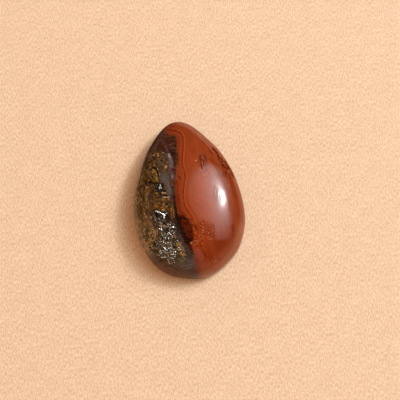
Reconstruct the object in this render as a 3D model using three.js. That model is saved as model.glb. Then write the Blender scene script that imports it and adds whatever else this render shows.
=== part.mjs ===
// Pear-shaped agate cabochon: one polished stone with a domed top, a low
// girdle, a narrow bevel and a flat ground back.
//
// Millimetres, +Z up. The long axis lies along Y with the narrow end towards
// +Y. The origin is the middle of the bounding box, on the flat back.

import * as THREE from 'three';
import { mergeVertices } from 'three/addons/utils/BufferGeometryUtils.js';

// ---- driving dimensions (mm) ----------------------------------------------
const LENGTH = 32.0;        // along Y, narrow end to round end
const HEIGHT = 7.4;         // flat back to the top of the dome
const GIRDLE_TOP = 1.6;     // where the upright edge turns into the dome
const BASE_BEVEL = 0.4;     // 45 degree bevel around the flat back
const DOME_POWER = 0.5;     // 0.5 gives an elliptical section across the dome
const SHOULDER_IN = 0.3;    // how far inside the edge the shoulder stands highest

// The outline at the girdle: radius (mm) about a point inside the stone, as a
// sum of a0 + ak cos(k t) + bk sin(k t), t counted from +X towards +Y.
const OUTLINE = [
  12.8282,
  -0.0721, 0.6224,
  -2.4139, -0.0313,
  0.0331, -0.7462,
  0.4958, 0.0124,
  -0.0444, 0.3224,
  -0.1942, -0.0633,
  0.0065, -0.1371,
  0.0896, 0.0355,
  0.0122, 0.0699,
  -0.0639, -0.0373,
  -0.0046, -0.0321,
  0.0276, 0.0097,
  0.0015, 0.0223,
];

// How high the shoulder stands over the plain dome (mm), all the way around, as
// the same kind of sum: sharp on the two long sides, soft at the round end.
const SHOULDER = [
  0.238,
  -0.0452, 0.1904,
  0.1193, -0.0112,
  0.0385, 0.073,
  -0.0141, 0.0278,
  -0.0063, -0.0268,
];

const SEGMENTS = 96;        // around the outline
const DOME_RINGS = 20;      // from the girdle up to the top

// ---- outline --------------------------------------------------------------
function aroundSum(terms, t) {
  let r = terms[0];
  for (let k = 1; k <= (terms.length - 1) / 2; k++) {
    r += terms[2 * k - 1] * Math.cos(k * t) + terms[2 * k] * Math.sin(k * t);
  }
  return r;
}

function outlineRadius(t) {
  return aroundSum(OUTLINE, t);
}

// ---- dome -----------------------------------------------------------------
// The dome's contour lines are those of a membrane stretched over the outline
// and pushed up evenly: they follow the pear at the edge and grow rounder
// towards the top. The membrane is -(x^2 + y^2) / 4 plus harmonic polynomials,
// whose factors make it zero along the outline.
const HARMONICS = 12;
const UNIT = 16;            // length the polynomials are scaled by (mm)

function basis(x, y) {
  const out = [1];
  let re = 1, im = 0;
  const u = x / UNIT, v = y / UNIT;
  for (let k = 1; k <= HARMONICS; k++) {
    [re, im] = [re * u - im * v, re * v + im * u];
    out.push(re, im);
  }
  return out;
}

function solve(a, b) {
  const n = b.length;
  for (let i = 0; i < n; i++) {
    let p = i;
    for (let r = i + 1; r < n; r++) if (Math.abs(a[r][i]) > Math.abs(a[p][i])) p = r;
    [a[i], a[p]] = [a[p], a[i]];
    [b[i], b[p]] = [b[p], b[i]];
    for (let r = i + 1; r < n; r++) {
      const f = a[r][i] / a[i][i];
      for (let c = i; c < n; c++) a[r][c] -= f * a[i][c];
      b[r] -= f * b[i];
    }
  }
  const x = new Array(n).fill(0);
  for (let i = n - 1; i >= 0; i--) {
    let s = b[i];
    for (let c = i + 1; c < n; c++) s -= a[i][c] * x[c];
    x[i] = s / a[i][i];
  }
  return x;
}

function membraneFactors() {
  const n = 2 * HARMONICS + 1;
  const a = Array.from({ length: n }, () => new Array(n).fill(0));
  const b = new Array(n).fill(0);
  const samples = 720;
  for (let i = 0; i < samples; i++) {
    const t = (2 * Math.PI * i) / samples;
    const r = outlineRadius(t);
    const row = basis(r * Math.cos(t), r * Math.sin(t));
    const rhs = (r * r) / (4 * UNIT * UNIT);
    for (let j = 0; j < n; j++) {
      b[j] += row[j] * rhs;
      for (let k = 0; k < n; k++) a[j][k] += row[j] * row[k];
    }
  }
  return solve(a, b);
}

const factors = membraneFactors();

function membraneRaw(x, y) {
  let s = -(x * x + y * y) / (4 * UNIT * UNIT);
  basis(x, y).forEach((value, i) => { s += value * factors[i]; });
  return s;
}

// What the fit leaves over at the outline is taken off, fading inwards, so the
// dome starts at the same height all the way around.
function membrane(x, y) {
  const t = Math.atan2(y, x);
  const r = outlineRadius(t);
  const left = membraneRaw(r * Math.cos(t), r * Math.sin(t));
  return membraneRaw(x, y) - left * (Math.hypot(x, y) / r) ** 8;
}

let membraneTop = 0;
for (let x = -3; x <= 3; x += 0.1) {
  for (let y = -3; y <= 3; y += 0.1) membraneTop = Math.max(membraneTop, membrane(x, y));
}

function domeHeight(x, y) {
  const share = Math.min(Math.max(membrane(x, y) / membraneTop, 0), 1);
  const t = Math.atan2(y, x);
  const inside = Math.max(outlineRadius(t) - Math.hypot(x, y), 0) / SHOULDER_IN;
  const shoulder = aroundSum(SHOULDER, t) * inside * Math.exp(1 - inside);
  return GIRDLE_TOP + (HEIGHT - GIRDLE_TOP) * share ** DOME_POWER + shoulder;
}

// ---- stone ----------------------------------------------------------------
// A round lathe profile in shares of the outline: x is the share of the radius
// and y counts the levels (0 back, 1 top of the bevel, 2 girdle, above 2 dome).
function stoneGeometry() {
  const profile = [
    new THREE.Vector2(0, 0),
    new THREE.Vector2(0.5, 0),
    new THREE.Vector2(1, 0),
    new THREE.Vector2(1, 1),
    new THREE.Vector2(1, 2),
  ];
  for (let i = 1; i <= DOME_RINGS; i++) {
    const share = i === DOME_RINGS ? 0 : Math.cos((i / DOME_RINGS) * Math.PI / 2);
    profile.push(new THREE.Vector2(share, 2 + i / DOME_RINGS));
  }
  let geometry = new THREE.LatheGeometry(profile, SEGMENTS);
  geometry.deleteAttribute('normal');
  geometry.deleteAttribute('uv');
  geometry.rotateX(Math.PI / 2);
  geometry = mergeVertices(geometry, 1e-4);

  const p = geometry.attributes.position;
  for (let i = 0; i < p.count; i++) {
    const level = p.getZ(i);
    const share = Math.hypot(p.getX(i), p.getY(i));
    const t = Math.atan2(p.getY(i), p.getX(i));
    const inset = level < 0.5 ? BASE_BEVEL : 0;
    const r = share * (outlineRadius(t) - inset);
    const x = r * Math.cos(t), y = r * Math.sin(t);
    let z;
    if (level < 0.5) z = 0;
    else if (level < 1.5) z = BASE_BEVEL;
    else if (level < 2.01) z = GIRDLE_TOP;
    else z = domeHeight(x, y);
    p.setXYZ(i, x, y, z);
  }

  // Put the origin at the middle of the flat back and set the exact length.
  geometry.computeBoundingBox();
  const box = geometry.boundingBox;
  geometry.translate(-(box.min.x + box.max.x) / 2, -(box.min.y + box.max.y) / 2, 0);
  const k = LENGTH / (box.max.y - box.min.y);
  geometry.scale(k, k, 1);
  geometry.computeVertexNormals();
  return geometry;
}

const stone = new THREE.Mesh(
  stoneGeometry(),
  new THREE.MeshStandardMaterial({ color: new THREE.Color(0.36, 0.10, 0.04), roughness: 0.12, metalness: 0.0 }),
);
stone.name = 'stone';

const cabochon = new THREE.Group();
cabochon.add(stone);

export default cabochon;
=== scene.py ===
import math
import bpy
import numpy as np
from mathutils import Matrix, Vector
from mathutils.geometry import delaunay_2d_cdt


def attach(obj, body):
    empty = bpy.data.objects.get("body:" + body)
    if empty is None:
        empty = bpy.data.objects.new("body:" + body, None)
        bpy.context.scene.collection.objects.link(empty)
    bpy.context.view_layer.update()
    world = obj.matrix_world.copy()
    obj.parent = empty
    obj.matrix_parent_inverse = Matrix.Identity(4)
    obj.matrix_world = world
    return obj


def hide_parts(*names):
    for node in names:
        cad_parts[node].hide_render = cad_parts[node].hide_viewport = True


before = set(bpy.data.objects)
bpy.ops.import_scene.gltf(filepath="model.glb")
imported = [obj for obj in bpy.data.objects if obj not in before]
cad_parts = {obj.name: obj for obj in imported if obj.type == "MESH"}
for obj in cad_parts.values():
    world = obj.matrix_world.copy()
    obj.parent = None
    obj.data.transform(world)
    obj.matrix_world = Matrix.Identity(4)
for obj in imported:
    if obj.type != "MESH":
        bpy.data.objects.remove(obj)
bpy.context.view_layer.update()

# A pear-shaped agate cabochon. Lengths in this script are millimetres until
# the mesh is made; +Y runs to the narrow end and +Z up out of the dome.
MM = 0.001
LENGTH = 32.0
HEIGHT = 7.4
GIRDLE_TOP = 1.6
BASE_BEVEL = 0.4
DOME_POWER = 0.5
OUTLINE = [12.8282, -0.0721, 0.6224, -2.4139, -0.0313, 0.0331, -0.7462, 0.4958,
           0.0124, -0.0444, 0.3224, -0.1942, -0.0633, 0.0065, -0.1371, 0.0896,
           0.0355, 0.0122, 0.0699, -0.0639, -0.0373, -0.0046, -0.0321, 0.0276,
           0.0097, 0.0015, 0.0223]
SHOULDER = [0.238, -0.0452, 0.1904, 0.1193, -0.0112, 0.0385, 0.073, -0.0141, 0.0278, -0.0063, -0.0268]
SHOULDER_IN = 0.3
rng = np.random.default_rng(20)


# ---------------------------------------------------------------- the form --
def around(terms, t):
    r = np.full_like(np.asarray(t, float), terms[0])
    for k in range(1, (len(terms) - 1) // 2 + 1):
        r = r + terms[2 * k - 1] * np.cos(k * t) + terms[2 * k] * np.sin(k * t)
    return r


def outline(t):
    return around(OUTLINE, t)


UNIT, HARMONICS = 16.0, 12
_t = np.linspace(0, 2 * np.pi, 721)
_r = outline(_t)
_x, _y = _r * np.cos(_t), _r * np.sin(_t)
OFF = np.array([(_x.max() + _x.min()) / 2, (_y.max() + _y.min()) / 2])
SCALE = LENGTH / np.ptp(_y)


def membrane_basis(x, y):
    z = (x + 1j * y) / UNIT
    out, zk = [np.ones_like(x)], np.ones_like(z)
    for _ in range(HARMONICS):
        zk = zk * z
        out += [zk.real, zk.imag]
    return np.stack(out, -1)


FACTORS = np.linalg.lstsq(membrane_basis(_x[:-1], _y[:-1]), (_x[:-1] ** 2 + _y[:-1] ** 2) / 4 / UNIT ** 2, rcond=None)[0]


def membrane_raw(x, y):
    return membrane_basis(x, y) @ FACTORS - (x * x + y * y) / 4 / UNIT ** 2


_err = membrane_raw(_x, _y)


def membrane(x, y):
    """A membrane over the outline, pushed up evenly: zero along the outline."""
    t = np.arctan2(y, x) % (2 * np.pi)
    share = np.hypot(x, y) / outline(t)
    return membrane_raw(x, y) - np.interp(t, _t, _err) * share ** 8


_gx, _gy = np.meshgrid(np.linspace(-3, 3, 61), np.linspace(-3, 3, 61))
TOP = membrane(_gx, _gy).max()


def dome(x, y):
    """Height of the dome over a point of the plan (row frame)."""
    px, py = x / SCALE + OFF[0], y / SCALE + OFF[1]
    v = np.clip(membrane(px, py) / TOP, 0, 1)
    t = np.arctan2(py, px)
    inside = np.maximum(outline(t) - np.hypot(px, py), 0) / SHOULDER_IN
    return GIRDLE_TOP + (HEIGHT - GIRDLE_TOP) * v ** DOME_POWER + around(SHOULDER, t) * inside * np.exp(1 - inside)


# ----------------------------------------------------------------- camera ---
TILT, TURN, LENS, PX_PER_MM = math.radians(18.0), math.radians(7.4), 85.0, 5.172
AIM = np.array([2.3386, -1.1490, 3.0])
_up = np.array([math.sin(TURN), math.cos(TURN), 0.0])
BACK = -_up * math.sin(TILT) + np.array([0, 0, math.cos(TILT)])
RIGHT = np.array([math.cos(TURN), -math.sin(TURN), 0.0])
UP = np.cross(BACK, RIGHT)
DIST = 400 / PX_PER_MM / 36 * LENS
EYE = AIM + BACK * DIST


def chart(x, y):
    """The markings are laid out on a chart of the dome, about 0.2 mm a step,
    counted across and down as the stone is seen from the front."""
    q = np.stack([x, y, dome(x, y)], -1) - EYE
    depth = -(q @ BACK)
    k = 400 * LENS / 36
    return 200 + k * (q @ RIGHT) / depth, 200 - k * (q @ UP) / depth


# ------------------------------------------------------------------ noise ---
def _hash(ix, iy, seed):
    h = (ix.astype(np.int64) * 374761393 + iy.astype(np.int64) * 668265263 + seed * 974634777) & 0xFFFFFFFF
    h = ((h ^ (h >> 13)) * 1274126177) & 0xFFFFFFFF
    return ((h ^ (h >> 16)) & 0xFFFFFF) / float(0xFFFFFF)


def noise(x, y, seed=0):
    ix, iy = np.floor(x), np.floor(y)
    fx, fy = x - ix, y - iy
    fx, fy = fx * fx * (3 - 2 * fx), fy * fy * (3 - 2 * fy)
    a, b = _hash(ix, iy, seed), _hash(ix + 1, iy, seed)
    c, d = _hash(ix, iy + 1, seed), _hash(ix + 1, iy + 1, seed)
    return (a + (b - a) * fx) * (1 - fy) + (c + (d - c) * fx) * fy


def fbm(x, y, octaves=4, seed=0):
    s, w, tot = 0.0, 1.0, 0.0
    for i in range(octaves):
        s = s + w * noise(x * 2 ** i + 17.3 * i, y * 2 ** i - 9.1 * i, seed + i)
        tot += w
        w *= 0.5
    return s / tot


def step(lo, hi, v):
    t = np.clip((v - lo) / (hi - lo), 0, 1)
    return t * t * (3 - 2 * t)


# ------------------------------------------------- marks on the chart -------
def line_distance(u, v, pts):
    """Distance to a line of points, with its side (positive to the left when
    walked with +v down), and how far along it the nearest point is."""
    pts = np.array(pts, float)
    best = np.full(u.shape, 1e9)
    sign = np.ones(u.shape)
    along = np.zeros(u.shape)
    run = 0.0
    for i in range(len(pts) - 1):
        a, b = pts[i], pts[i + 1]
        d = b - a
        n = math.hypot(*d)
        t = np.clip(((u - a[0]) * d[0] + (v - a[1]) * d[1]) / n ** 2, 0, 1)
        du, dv = u - a[0] - t * d[0], v - a[1] - t * d[1]
        r = np.hypot(du, dv)
        cross = d[0] * (v - a[1]) - d[1] * (u - a[0])
        near = r < best - 1e-9
        best = np.where(near, r, best)
        sign = np.where(near, np.where(cross < 0, 1.0, -1.0), sign)
        along = np.where(near, run + t * n, along)
        run += n
    return best, sign, along


def stroke(u, v, pts, radius, soft):
    """1 on a line of points (or one point), falling to 0 beside it."""
    pts = np.array(pts, float)
    lo, hi = pts.min(0) - radius - soft, pts.max(0) + radius + soft
    out = np.zeros(u.shape)
    k = np.nonzero((u > lo[0]) & (u < hi[0]) & (v > lo[1]) & (v < hi[1]))[0]
    if len(k):
        line = pts if len(pts) > 1 else np.concatenate([pts, pts + (0.01, 0)])
        out[k] = 1 - step(radius - soft, radius + soft, line_distance(u[k], v[k], line)[0])
    return out


def strokes(u, v, rows):
    """The strongest of several strokes: points, half width and strength."""
    out = np.zeros(u.shape)
    for pts, radius, strength in rows:
        out = np.maximum(out, strength * stroke(u, v, pts, radius, 0.45 + 0.4 * radius))
    return out


def blob(u, v, cu, cv, ru, rv, turn=0.0, soft=0.3):
    a = math.radians(turn)
    x, y = u - cu, v - cv
    x, y = x * math.cos(a) + y * math.sin(a), -x * math.sin(a) + y * math.cos(a)
    return 1 - step(1 - soft, 1 + soft, np.hypot(x / ru, y / rv))


# The seam between the dark zone and the red one, from the left edge near the
# narrow end, round the corner and down to the round end.
SEAM = [(130, 128), (150, 127), (159, 127.4), (163.4, 128.6), (165.4, 131.4), (166.4, 133.8), (168.4, 134.8), (172, 135.2), (175.0, 135.6), (176.5, 136.6), (176.9, 139),
        (177.0, 145), (177.1, 151), (177.4, 157.4), (177.5, 164), (176.7, 168.6), (176.1, 172.5), (176.2, 176.0),
        (174.8, 179), (174.2, 182), (174.9, 185.4), (175.6, 188), (175.6, 195), (175.4, 201.8), (176.4, 207), (178.2, 212),
        (179.6, 215.6), (183.4, 216.9), (188.6, 219.2), (191.4, 224.3), (192.4, 231), (192.8, 236.5), (190.8, 239.8),
        (190.4, 242.7), (191.6, 247), (193.4, 251), (194.4, 255), (194.8, 260), (196.2, 265), (197.4, 271),
        (198.6, 280), (199.5, 300)]
# The dark band line that runs beside the seam, round the corner as well.
BAND = [(158, 120), (163, 124.0), (167.4, 129.0), (172, 130.4), (177, 131.2), (180.8, 133.2), (182.7, 136.6), (183.2, 141), (183.2, 147),
        (182.6, 152), (182.2, 158), (182.4, 164), (183.6, 169), (185.0, 173.5), (185.2, 178), (184.2, 184), (183.4, 190), (183.4, 196),
        (183.8, 201), (184.8, 206), (187.4, 210), (190.0, 213.4), (192.4, 217.4), (194.0, 221.4), (195.0, 226), (195.6, 232)]

# Small marks by colour: points on the chart, half width, strength.
MARKS = {
    "umber": [
        ([(154.2, 158.8), (155.4, 160.6)], 1.2, 0.9), ([(151.0, 161.2)], 0.9, 0.8), ([(146.6, 162.0), (146.4, 168.2)], 1.2, 0.7), ([(145.1, 180.3)], 1.2, 0.8),
        ([(144.6, 187.1)], 1.0, 0.9), ([(138.3, 194.5), (138.5, 199)], 0.6, 0.8), ([(143.3, 195), (143.4, 201.5)], 0.7, 0.8), ([(155.2, 194.4), (155.6, 198.0)], 0.9, 0.8),
        ([(143.5, 234.6), (144.4, 237.0)], 0.7, 0.7), ([(148.4, 225.0), (149.2, 231.0)], 1.4, 0.45), ([(145.8, 228.0), (146.4, 233.0)], 0.6, 0.4),
        ([(160.5, 147.0), (157.4, 149.4)], 1.4, 0.7), ([(155.0, 146.4), (159.0, 146.0)], 1.0, 0.7), ([(171.5, 146.0), (175.4, 145.4)], 1.0, 0.9), ([(170.6, 137.6), (175.2, 137.4)], 1.1, 0.9),
        ([(163.0, 138.6), (167.6, 138.2)], 0.8, 0.6), ([(172.4, 149.6), (175.8, 150.2)], 0.9, 0.8), ([(165.8, 141.6), (170.2, 141.9)], 0.8, 0.6), ([(174.4, 157.4), (174.2, 163.5)], 1.2, 0.9),
        ([(146.0, 201.0), (147.0, 206.4)], 1.0, 0.5), ([(153.0, 189.6), (152.2, 192.8)], 0.9, 0.7), ([(141.0, 207.0), (141.4, 213.0)], 0.7, 0.7), ([(147.4, 208.5), (147.0, 215.0)], 0.8, 0.6),
        ([(150.2, 247.5), (152.6, 250.6)], 1.2, 0.6), ([(141.6, 216.0), (142.4, 224.0)], 0.5, 0.45), ([(177.6, 252.0), (178.4, 256.0)], 0.7, 0.6),
        ([(161.0, 258.2), (167.0, 260.4)], 1.6, 0.5), ([(184.6, 262.6), (188.6, 264.0)], 0.6, 0.5), ([(163.0, 266.6), (170.0, 266.0), (174.0, 267.6), (180.0, 271.4)], 0.7, 0.6)],
    "black": [
        ([(153.0, 167.8), (154.6, 167.4), (156.2, 169.2), (158.0, 172.3), (158.4, 175.4)], 0.55, 1.0), ([(155.4, 173.4)], 0.6, 0.9), ([(152.5, 176.9)], 0.9, 1.0), ([(151.4, 182.2), (154.2, 183.6)], 1.1, 0.7),
        ([(157.0, 185.0), (156.9, 188.4)], 0.9, 0.9), ([(158.2, 190.4), (160.2, 191.8)], 0.8, 1.0), ([(162.4, 186.4), (162.6, 188.2)], 0.8, 0.9), ([(163.4, 191.0), (165.2, 191.2)], 0.8, 1.0), ([(161.3, 160.6)], 0.8, 0.9),
        ([(166.6, 159.7)], 0.8, 0.8), ([(164.2, 195.3), (167.2, 195.7)], 0.8, 1.0), ([(161.5, 202.8)], 0.8, 0.8), ([(161.0, 193.6), (160.8, 196.0)], 0.9, 0.7), ([(160.8, 171.6)], 0.8, 0.6), ([(166.4, 203.6), (167.8, 204.6)], 0.7, 0.7),
        ([(167.6, 199.2)], 0.6, 0.5), ([(158.0, 184.0), (157.4, 190.6)], 1.1, 0.9), ([(162.6, 184.0), (162.8, 189.6)], 0.9, 0.9), ([(156.4, 216.8), (158.6, 221.0)], 1.6, 0.35), ([(162.6, 223.0), (166.0, 223.4)], 1.0, 0.6),
        ([(155.6, 213.2), (157.6, 214.4)], 0.9, 1.0), ([(159.4, 214.6), (161.9, 215.6), (162.2, 218.6)], 0.9, 0.7), ([(162.0, 211.9), (165.2, 212.2)], 0.7, 1.0), ([(167.2, 214.8), (166.4, 218.4)], 0.9, 1.0),
        ([(169.6, 208.4), (169.9, 219.0)], 0.6, 0.6), ([(156.0, 219.0), (159.6, 222.0)], 1.2, 0.3), ([(167.6, 227.6)], 0.8, 1.0), ([(171.9, 225.2), (174.6, 225.3)], 0.6, 1.0), ([(171.6, 228.7), (174.4, 228.5)], 0.6, 1.0),
        ([(166.2, 230.8), (167.4, 231.2)], 0.8, 1.0), ([(169.2, 234.7)], 0.8, 1.0), ([(164.0, 239.9), (168.4, 239.6)], 0.6, 0.9), ([(162.6, 237.0)], 0.8, 0.7), ([(167.4, 248.6)], 0.7, 1.0), ([(160.6, 255.4)], 0.8, 0.9), ([(155.4, 250.0)], 0.9, 0.6),
        ([(178.6, 175.6), (180.4, 179.4)], 0.55, 0.9), ([(171.6, 151.6), (173.0, 156.0)], 0.9, 0.7), ([(177.3, 153.0), (177.5, 161.0)], 0.6, 0.7), ([(154.8, 243.4), (156.4, 244.8)], 1.5, 0.9), ([(174.7, 244.0), (174.5, 247.4)], 0.7, 0.7)],
    "rust": [
        ([(154.4, 152.0), (155.6, 153.6)], 1.2, 0.8), ([(158.2, 158.2), (159.4, 159.0)], 1.1, 0.7), ([(163.0, 164.4), (163.8, 166.2)], 1.1, 0.9), ([(164.2, 168.4), (164.6, 170.4)], 1.2, 0.9), ([(148.4, 188.8), (149.0, 191.6)], 1.3, 0.8), ([(151.2, 200.6), (151.6, 210.0)], 1.5, 0.5), ([(155.4, 196.6), (156.4, 200.4)], 1.2, 0.5),
        ([(156.0, 203.4), (159.6, 203.6)], 1.3, 0.9), ([(154.6, 206.8), (159.0, 206.4)], 1.2, 0.8), ([(161.8, 207.6), (164.4, 208.8)], 1.3, 1.0), ([(171.5, 210.0), (171.6, 217.4)], 0.8, 1.0), ([(170.6, 208.4), (172.4, 208.4)], 0.9, 0.8),
        ([(168.2, 198.8), (167.0, 199.6)], 0.6, 0.8), ([(148.4, 219.6), (150.6, 221.6)], 1.0, 0.55), ([(147.2, 241.0), (149.6, 246.0)], 1.4, 0.5), ([(177.2, 242.6), (178.0, 247.0)], 0.9, 0.9), ([(146.2, 221.8), (148.0, 222.4)], 0.9, 0.8),
        ([(175.9, 165.0), (175.6, 172.0)], 0.8, 0.5), ([(183.4, 251.0), (184.4, 253.6)], 1.2, 0.5)],
    "ochre": [
        ([(154.5, 161.8), (154.2, 166.0)], 1.5, 0.8), ([(151.2, 164.0), (150.6, 167.4)], 1.1, 0.7), ([(153.4, 170.0), (155.6, 174.0)], 1.3, 0.85), ([(157.0, 178.0), (157.0, 181.6)], 1.1, 0.85), ([(163.0, 157.4), (165.6, 162.2)], 0.9, 0.7),
        ([(161.6, 200.4), (165.6, 200.4)], 1.2, 0.8), ([(163.0, 203.0), (167.0, 202.4)], 1.1, 0.6), ([(153.6, 195.4), (153.8, 201.0)], 0.9, 0.7), ([(157.0, 192.6), (157.4, 196.0)], 1.0, 0.8), ([(151.4, 185.4), (151.2, 189.4)], 0.9, 0.7),
        ([(182.0, 246.6), (183.4, 255.0)], 1.9, 0.5), ([(179.6, 243.4), (180.0, 255.6)], 1.8, 0.42), ([(153.6, 228.4), (154.6, 238.0)], 1.9, 0.6), ([(150.0, 236.0), (149.4, 245.0)], 1.5, 0.5), ([(145.6, 238.0), (148.6, 244.6)], 1.3, 0.4),
        ([(148.6, 196.0), (148.8, 206.0)], 0.7, 0.4), ([(142.0, 240.0), (147.0, 248.0)], 1.3, 0.4), ([(165.8, 172.2)], 1.2, 0.5)],
    "gold": [
        ([(153.7, 155.3)], 1.1, 1.0), ([(154.3, 164.6)], 1.0, 0.9), ([(153.3, 169.6), (154.0, 171.4), (152.8, 172.6)], 1.0, 1.0), ([(155.6, 172.4), (156.6, 174.6)], 0.7, 0.9), ([(156.8, 177.8), (157.1, 180.6)], 1.1, 0.9), ([(151.2, 163.6)], 0.7, 0.8),
        ([(164.2, 200.2), (161.6, 199.8)], 0.7, 0.9), ([(156.0, 206.0), (158.0, 206.3)], 0.9, 0.8), ([(171.5, 208.6)], 0.9, 0.9), ([(153.9, 232.4), (155.0, 234.4)], 1.0, 0.8), ([(177.0, 243.4), (178.0, 245.8)], 0.7, 1.0), ([(183.2, 253.6)], 0.8, 0.9),
        ([(182.0, 247.6), (182.8, 250.0)], 0.8, 0.7), ([(149.2, 240.0), (150.2, 243.4)], 0.9, 0.7), ([(148.4, 180.2)], 0.8, 0.8), ([(173.6, 208.6), (173.7, 218.0)], 0.6, 0.7), ([(157.2, 193.0), (155.0, 193.2)], 0.7, 0.7), ([(164.6, 167.9)], 0.8, 0.8)],
    "tan": [
        ([(157.8, 153.8), (158.6, 156.0)], 0.8, 0.8), ([(157.4, 168.8), (158.0, 170.0)], 0.7, 1.0), ([(158.6, 172.2), (159.4, 175.2)], 0.5, 0.9), ([(165.8, 167.4), (166.4, 166.2)], 0.8, 1.0), ([(162.0, 193.0), (165.4, 192.6)], 0.9, 1.0),
        ([(163.2, 197.7), (169.0, 197.3)], 0.6, 1.0), ([(162.8, 210.0), (164.6, 210.4)], 0.8, 1.0), ([(146.8, 187.2)], 0.9, 0.9), ([(148.4, 173.2)], 0.8, 0.7), ([(150.0, 167.9)], 0.7, 0.7), ([(164.0, 204.0), (164.2, 206.0)], 0.7, 0.7),
        ([(168.8, 199.7)], 0.7, 0.7), ([(162.6, 152.4), (163.6, 152.3)], 0.6, 0.9), ([(169.2, 144.9), (171.0, 144.6)], 0.5, 0.6), ([(144.6, 213.0), (144.6, 214.4)], 0.6, 0.9), ([(151.3, 217.0), (151.2, 218.2)], 0.7, 1.0), ([(144.0, 231.6), (145.4, 235.0)], 0.5, 1.0),
        ([(150.6, 232.6)], 0.7, 0.8), ([(152.6, 228.8), (154.8, 231.6), (154.8, 236.4)], 1.1, 0.6), ([(149.8, 236.0), (148.6, 241.0), (147.6, 244.6)], 0.6, 0.5), ([(156.8, 229.6), (157.0, 234.0)], 0.9, 0.55),
        ([(151.4, 236.0), (151.0, 241.0)], 0.7, 0.45), ([(136.2, 197.0), (136.2, 203.0)], 0.5, 0.7), ([(150.4, 243.8), (152.0, 246.6)], 0.6, 0.6), ([(160.0, 225.6), (164.0, 226.2), (167.6, 226.4)], 0.7, 0.9), ([(163.6, 189.3)], 0.7, 0.8), ([(166.9, 206.6)], 0.8, 0.8),
        ([(174.0, 233.6), (175.6, 237.6)], 0.6, 0.8), ([(191.2, 243.0)], 0.7, 1.0), ([(163.0, 206.4), (164.0, 205.4)], 0.6, 0.7), ([(137.0, 209.0), (137.2, 216.0)], 0.5, 0.5), ([(152.0, 228.4), (152.8, 226.4)], 0.6, 0.5)],
    "mauve": [
        ([(170.2, 171.0), (172.4, 174.6), (172.6, 178.0)], 1.9, 0.9), ([(168.8, 164.6), (170.6, 168.6)], 1.3, 0.7), ([(165.6, 146.8), (167.0, 150.6)], 1.8, 0.6), ([(158.0, 144.0), (154.6, 148.0)], 1.4, 0.4), ([(173.6, 196.0), (174.2, 200.4)], 0.9, 0.7),
        ([(149.0, 155.4), (149.8, 158.8)], 1.5, 0.6), ([(180.0, 237.4), (178.6, 235.6)], 1.0, 0.6), ([(151.2, 197.4), (151.0, 201.0)], 1.0, 0.5), ([(161.0, 140.2), (165.4, 140.0)], 0.9, 0.5), ([(172.6, 147.6), (170.0, 148.8)], 0.9, 0.5)],
    "lilac": [
        ([(168.6, 154.6), (169.8, 157.0)], 1.3, 1.0), ([(169.6, 157.0), (171.0, 161.0), (171.6, 166.0)], 1.9, 0.62), ([(167.0, 157.4), (167.6, 163.0)], 0.9, 0.4), ([(172.2, 175.8), (172.6, 176.8)], 0.8, 0.9),
        ([(150.7, 177.2)], 0.6, 1.0), ([(167.2, 183.6), (167.4, 185.2)], 0.7, 0.5), ([(169.0, 184.0), (169.6, 189.6)], 1.0, 0.6)],
    "maroon": [
        ([(183.6, 223.6), (185.0, 227.6)], 1.9, 0.6), ([(186.4, 232.4), (187.2, 235.6)], 1.2, 0.5), ([(176.4, 181.0), (174.8, 184.4), (174.8, 188.0)], 1.0, 0.7),
        ([(175.8, 192.6), (176.4, 203.6)], 0.8, 0.6), ([(164.0, 148.6), (168.0, 147.0), (168.4, 143.0)], 1.1, 0.3), ([(189.6, 244.4), (191.8, 248.4)], 1.2, 0.7)],
    "seam_dark": [
        ([(174.0, 196.0), (175.0, 203.0), (175.6, 210.0), (177.0, 216.0)], 1.2, 0.95), ([(177.0, 216.0), (178.6, 221.0), (181.0, 228.0), (183.6, 235.0), (186.8, 241.0)], 2.0, 1.0),
        ([(186.8, 241.0), (190.0, 246.0), (191.4, 249.0)], 1.6, 0.8), ([(191.0, 248.0), (193.4, 254.0)], 1.2, 0.4), ([(180.0, 217.6), (184.0, 218.0), (187.0, 219.4)], 1.3, 0.8),
        ([(187.0, 237.8), (189.6, 239.4)], 1.7, 0.75), ([(184.0, 230.4), (187.4, 229.4)], 0.9, 0.4), ([(174.2, 150.0), (175.6, 158.0)], 0.8, 0.6)],
    "brick": [
        ([(177.8, 196.0), (178.4, 205.0), (180.4, 212.0), (184.4, 215.0)], 1.8, 0.85), ([(190.6, 219.0), (193.0, 226.0)], 1.1, 0.7), ([(178.6, 140.0), (178.4, 150.0), (178.8, 158.0), (178.2, 166.0)], 0.8, 0.7),
        ([(176.6, 181.4), (177.6, 187.0), (177.4, 194.0)], 1.4, 0.7), ([(193.4, 244.6), (196.6, 250.4)], 1.8, 0.7), ([(169.8, 129.8), (176.0, 130.4), (181.0, 133.2)], 1.0, 0.8)],
    # small pits; their pale flecks are painted glints
    "pit_and_glint": [
        ([(191.6, 242.4), (194.0, 241.2), (197.4, 240.4)], 0.45, 0.9),
        ([(196.0, 160.4)], 0.60, 1.0), ([(205.5, 169.4)], 0.56, 1.0), ([(202.0, 162.0), (202.3, 164.0)], 0.48, 1.0), ([(202.0, 157.4)], 0.48, 0.7), ([(194.0, 192.5)], 0.48, 0.9), ([(208.6, 192.4)], 0.48, 0.8), ([(201.5, 183.0)], 0.40, 0.6),
        ([(228.6, 184.6), (228.4, 186.4)], 0.40, 0.8), ([(203.5, 229.8)], 0.60, 1.0), ([(209.2, 232.6)], 0.60, 1.0), ([(199.4, 236.6)], 0.60, 1.0), ([(215.5, 260.8)], 0.56, 1.0), ([(178.0, 177.6)], 0.48, 1.0), ([(183.2, 177.2), (183.4, 178.6)], 0.40, 0.6),
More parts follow.
